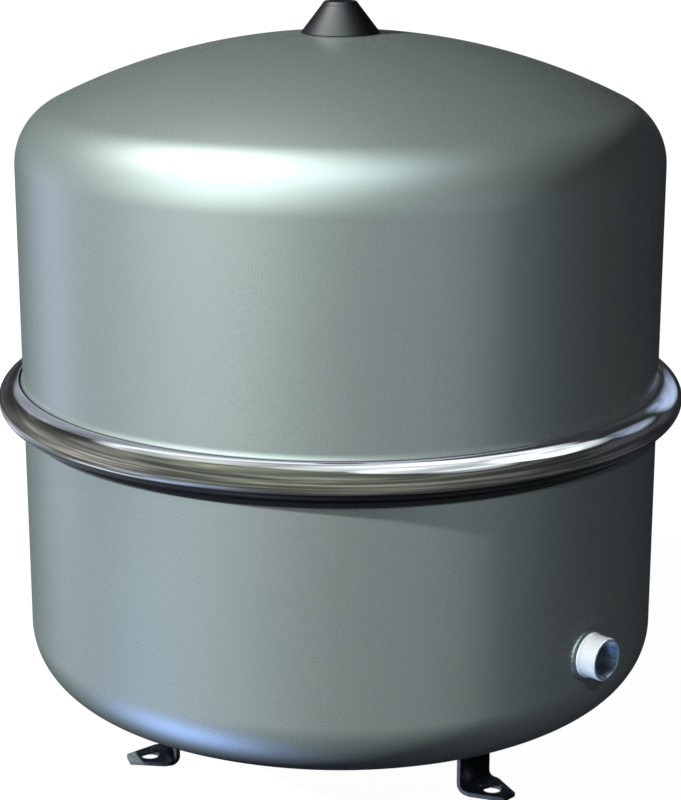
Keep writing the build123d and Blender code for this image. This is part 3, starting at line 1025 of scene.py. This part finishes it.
def makeCoreSpring():
    # wound from just above the CAD spring's foot to just below its top
    low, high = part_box("core_spring")
    piece = linked("coreSpring", newMesh("coreSpring", []))
    wire = coreSpring["wireRadius"]
    height = high.z - low.z - 2 * wire
    runTree(piece, winding, "core_steel", height=height, startHeight=low.z + wire, **coreSpring)
    tidied(piece, coreSpring["sharpAngle"])
    placed(piece, "core_steel", "tank", "core_spring")
    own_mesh(piece)


keptNodes = {  # CAD nodes that only get a finish
    "diaphragm": "diaphragm_rubber",
    "stem_oring": "seal_rubber",
    "core_body": "valve_brass",
    "core_gasket": "seal_rubber",
    "core_pin": "core_steel",
    "core_seat_seal": "seal_rubber",
    "core_cup": "valve_brass",
    "dust_cap_seal": "seal_rubber",
}

makeCoreSpring()
for node, slot in keptNodes.items():
    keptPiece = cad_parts[node]
    for place in keptPiece.material_slots:
        place.material = finishes[slot]
print("valve core and kept parts ready")


photo = dict(
    height=800, focalPixels=2178.06, sensor=36.0,
    distance=1.3591, cameraHeight=0.6164, azimuth=42.8, pitch=15.677,
    clip=(0.05, 100),
)


def bearing(azimuth, elevation):
    # unit vector; azimuth is measured from straight at the camera, to its right
    angle = math.radians(photo["azimuth"] + azimuth)
    rise = math.radians(elevation)
    return Vector((math.sin(angle) * math.cos(rise), -math.cos(angle) * math.cos(rise), math.sin(rise)))


def makeCamera():
    camera = bpy.data.cameras.new("photoCamera")
    camera.sensor_width = photo["sensor"]
    camera.lens = photo["focalPixels"] * photo["sensor"] / photo["height"]
    camera.clip_start, camera.clip_end = photo["clip"]
    view = linked("photoCamera", camera)
    view.location = bearing(0, 0) * photo["distance"]
    view.location.z = photo["cameraHeight"]
    view.rotation_euler = (math.radians(90 - photo["pitch"]), 0, math.radians(photo["azimuth"]))
    bpy.context.scene.camera = view


paintTint = (0.87, 1.0, 0.97)
whiteTint = (0.95, 1.0, 1.0)
strips = ["feet", "footWelds"]
plated = ["portNipple", "valveBoss"]
unmirrored = ["upperShell", "lowerShell", "portNipple"]  # in no reflection, as in the photo

# suns that light the surfaces, and show in no reflection; way is azimuth and elevation
lamps = {
    "key": dict(way=(-61.5, 29), strength=10.8, spread=1.5, colour=paintTint, notOn=strips + plated),
    "footKey": dict(way=(-57, 50), strength=8.5, spread=1, colour=paintTint, only=strips),
    "backFill": dict(way=(178, 6), strength=3.0, spread=30, colour=whiteTint),
    "frontFill": dict(way=(15, 38), strength=0.9, spread=3, colour=whiteTint, notOn=plated),
    "footRim": dict(way=(-72, -12), strength=4.5, spread=4, colour=(0.8, 0.85, 1.25), only=strips),
    "platedKey": dict(way=(-46, 40), strength=7.1, spread=6, colour=(1, 1, 1), only=plated),
    "platedSky": dict(way=(-20, -35), strength=1.9, spread=10, colour=(0.4, 0.8, 1.35), only=plated),
}


def linkTo(source, look):
    # the pieces that a light reaches, or leaves out
    names = look.get("only") or look.get("notOn")
    if not names:
        return
    group = bpy.data.collections.new(source.name + "Pieces")
    for name in names:
        group.objects.link(bpy.data.objects[name])
    for row in group.collection_objects:
        row.light_linking.link_state = "INCLUDE" if "only" in look else "EXCLUDE"
    source.light_linking.receiver_collection = group


def makeSun(name, look):
    light = bpy.data.lights.new(name, "SUN")
    light.angle = math.radians(look["spread"])
    light.color = look["colour"]
    light.energy = look["strength"]
    lamp = linked(name, light)
    lamp.rotation_euler = bearing(*look["way"]).to_track_quat("Z", "Y").to_euler()
    lamp.visible_glossy = False
    linkTo(lamp, look)


# Round the studio stand two domes that only reflections show: soft panels for the paint, and
# sharper ones for the chrome. A panel has a width where it fades, or a spread where it ends.
domes = {
    "paintDome": dict(
        radius=30, notOn=["clampRing"] + plated + strips, streaks=False, gain=2.7, base=(0.003, 0.003, 0.004),
        panels={
            "highLeft": dict(way=(-90, 60), width=15, colour=(1.12, 1.16, 1.09)),
            "highFront": dict(way=(-12, 63), width=18.5, colour=(0.43, 0.53, 0.52)),
            "left": dict(way=(-44, 27), width=24.5, colour=(0.66, 0.73, 0.71)),
            "farLeft": dict(way=(-118, -9), width=11, colour=(0.14, 0.16, 0.23)),
            "skyBelow": dict(way=(-79, -51), width=13, colour=(0.29, 0.44, 0.94)),
            "front": dict(way=(36, -4), width=23, colour=(0.104, 0.124, 0.124)),
            "right": dict(way=(100, -38), width=32, colour=(0.014, 0.017, 0.018)),
        },
    ),
    "chromeDome": dict(
        radius=36, only=["clampRing"] + plated, streaks=True, gain=1.0, base=(0.030, 0.032, 0.036),
        panels={
            "leftWall": dict(way=(-98, 0), width=23, colour=(0.40, 0.38, 0.33)),
            "front": dict(way=(-5, 5), width=38, colour=(0.165, 0.178, 0.130)),
            "frontHigh": dict(way=(-12, 62), width=14, colour=(0.10, 0.11, 0.085)),
            "overhead": dict(way=(160, 77), spread=28, colour=(0.75, 0.80, 0.79)),
            "upperRight": dict(way=(82, 71), spread=33, colour=(0.95, 1.02, 1.02)),
            "upperLeft": dict(way=(-141, 57), spread=24, colour=(0.70, 0.73, 0.73)),
            "frontRight": dict(way=(62, 56), spread=20, colour=(0.50, 0.56, 0.58)),
            "window": dict(way=(110, 50), spread=30, colour=(1.0, 1.1, 1.15)),
            "lowWindow": dict(way=(128, 29), spread=18, colour=(0.42, 0.50, 0.64)),
            "backRight": dict(way=(152, 13), spread=22, colour=(0.26, 0.33, 0.47)),
            "backLeft": dict(way=(-167, 34), spread=40, colour=(0.38, 0.42, 0.47)),
            "back": dict(way=(-170, 65), spread=34, colour=(0.62, 0.66, 0.66)),
            "sky": dict(way=(146, 58), spread=23, colour=(0.66, 0.71, 0.74)),
            "highLeft": dict(way=(-92, 70), width=12, colour=(0.30, 0.33, 0.22)),
            "lowBack": dict(way=(-150, -52), spread=80, colour=(0.30, 0.35, 0.38)),
            "lowLeft": dict(way=(-62, -42), width=12, colour=(0.26, 0.33, 0.50)),
        },
    ),
}
panelRim = 0.02
streakLook = dict(
    scale=(1.5, 1.5, 4.5),
    stops=[(0.32, (0.45, 0.45, 0.45, 1)), (0.50, (0.90, 0.90, 0.90, 1)), (0.62, (1.9, 1.9, 1.9, 1))],
)


def panelGlow(graph, way, panel):
    facing = tuple(bearing(*panel["way"]))
    nearness = graph.vector("DOT_PRODUCT", way, facing, output="Value")
    if "width" in panel:
        return graph.math("EXPONENT", (nearness - 1) / math.radians(panel["width"]) ** 2)
    return graph.ramp((nearness - math.cos(math.radians(panel["spread"] / 2))) / panelRim)


def makeDome(name, look):
    work = bmesh.new()
    bmesh.ops.create_icosphere(work, subdivisions=2, radius=look["radius"])
    dome = linked(name, meshFrom(name, work))
    graph, place = newMaterial(name)
    way = graph.vector("NORMALIZE", place)
    total = graph.join(*look["base"])
    for panel in look["panels"].values():
        glow = graph.vector("SCALE", panel["colour"], scale=panelGlow(graph, way, panel))
        total = graph.vector("ADD", total, glow)
    if look["streaks"]:
        streaks = noise(graph, graph.vector("MULTIPLY", way, streakLook["scale"]), 1.0, 3.0)
        contrast = graph.add("ShaderNodeValToRGB", {"stops": streakLook["stops"]}, streaks)
        total = graph.vector("MULTIPLY", total, contrast)
    shine = graph.add("ShaderNodeEmission", None, total, look["gain"])
    clear = graph.add("ShaderNodeBsdfTransparent")
    graph.add("ShaderNodeOutputMaterial", None, graph.add("ShaderNodeAddShader", None, shine, clear))
    graph.owner.cycles.emission_sampling = "NONE"
    dome.data.materials.append(graph.owner)
    dome.visible_camera = False
    dome.visible_diffuse = False
    dome.visible_shadow = False
    linkTo(dome, look)


def makeWorld():
    # white behind the object, and no light of its own
    world = bpy.data.worlds.new("studioWorld")
    bpy.context.scene.world = world
    graph = emptyGraph(world)
    dark = graph.add("ShaderNodeBackground", None, (0, 0, 0, 1), 0.0)
    white = graph.add("ShaderNodeBackground", None, (1, 1, 1, 1), 1.0)
    seen = graph.add("ShaderNodeLightPath", output="Is Camera Ray")
    graph.add("ShaderNodeOutputWorld", None, graph.add("ShaderNodeMixShader", None, seen, dark, white))


stage = dict(size=12, shade=(0.05, 0.05, 0.05, 1), shine=0.975)


def makeFloor():
    size = stage["size"]
    corners = [(-size, -size, 0), (size, -size, 0), (size, size, 0), (-size, size, 0)]
    floor = linked("studioFloor", newMesh("studioFloor", corners, (), [(0, 1, 2, 3)]))
    graph = emptyGraph(bpy.data.materials.new("paleFloor"))
    matt = graph.add("ShaderNodeBsdfDiffuse", None, stage["shade"])
    shine = graph.add("ShaderNodeEmission", None, (1, 1, 1, 1), stage["shine"])
    graph.add("ShaderNodeOutputMaterial", None, graph.add("ShaderNodeAddShader", None, matt, shine))
    floor.data.materials.append(graph.owner)
    floor.visible_diffuse = False
    floor.visible_glossy = False
    floor.visible_shadow = False


makeCamera()
for name in unmirrored:
    bpy.data.objects[name].visible_glossy = False
for name, look in lamps.items():
    makeSun(name, look)
for name, look in domes.items():
    makeDome(name, look)
makeWorld()
makeFloor()
bpy.context.scene.view_settings.view_transform = "Standard"
print("studio ready")
